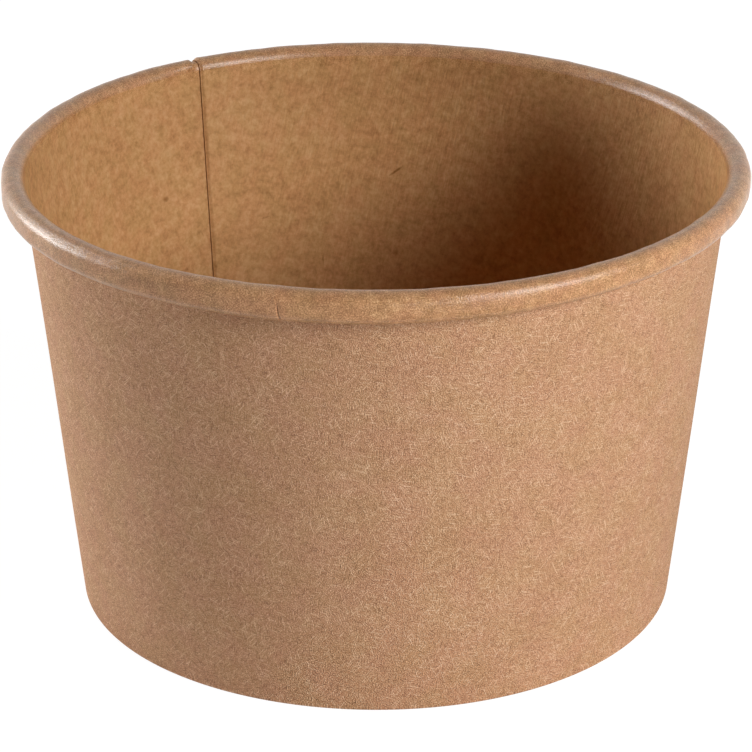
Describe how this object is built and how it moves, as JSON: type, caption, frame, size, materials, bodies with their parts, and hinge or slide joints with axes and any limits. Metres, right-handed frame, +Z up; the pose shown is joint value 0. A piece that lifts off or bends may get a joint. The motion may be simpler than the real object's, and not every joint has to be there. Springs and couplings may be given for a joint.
{
  "type": "paper ice cream tub",
  "caption": "Round tapered kraft board tub with a rolled rim, a lapped side seam and a recessed base, for ice cream or other portions.",
  "frame": {"origin": "centre of the foot, on the surface that the tub stands on", "axes": "+Z up along the tub's axis; the side seam's inner edge is 122.8 degrees from +X towards +Y"},
  "size_m": [0.095, 0.095, 0.059],
  "materials": {
    "wall_board": "uncoated kraft board outside, thin satin coating inside",
    "base_board": "kraft board with a thin satin coating on the food side"
  },
  "bodies": {
    "root": {"side_wall": "wall_board", "base_disc": "base_board"}
  },
  "joints": []
}
